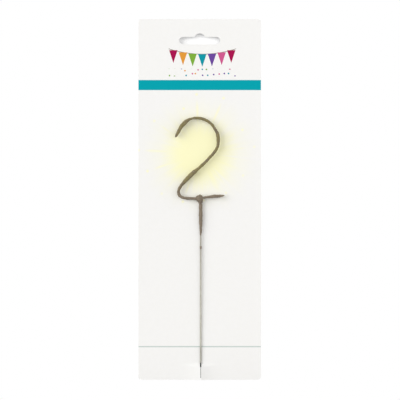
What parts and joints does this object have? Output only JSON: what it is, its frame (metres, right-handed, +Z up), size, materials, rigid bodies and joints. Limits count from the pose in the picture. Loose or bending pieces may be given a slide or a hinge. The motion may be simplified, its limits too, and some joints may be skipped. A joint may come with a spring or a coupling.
{
  "type": "number sparkler on a hang card",
  "caption": "Party sparkler bent to a number two on a wire stick, threaded through a slit in a tall hang card with a peg slot; the stick pulls up out of the card.",
  "frame": {"origin": "centre of the hang slot's peg arc, on the card's back face", "axes": "+Z up the card, +Y out of the card's back towards the wall, +X to the right seen from the front"},
  "size_m": [0.0826, 0.0052, 0.2431],
  "materials": {
    "card_board": "coated white board, printed on the front",
    "steel_wire": "drawn, slightly dull",
    "sparkler_mix": "dry, matt and grainy"
  },
  "bodies": {
    "card": {"backing_card": "card_board"},
    "sparkler": {"stick": "steel_wire", "number_wire": "steel_wire", "number_crust": "sparkler_mix", "foot_crust": "sparkler_mix", "junction_bead": "sparkler_mix", "stem_crust": "sparkler_mix", "stick_drip": "sparkler_mix"}
  },
  "joints": [
    {"name": "sparkler_pull", "type": "slide", "parent": "card", "child": "sparkler", "axis": [0, -0.0079, 1], "range_m": [0, 0.012]}
  ]
}
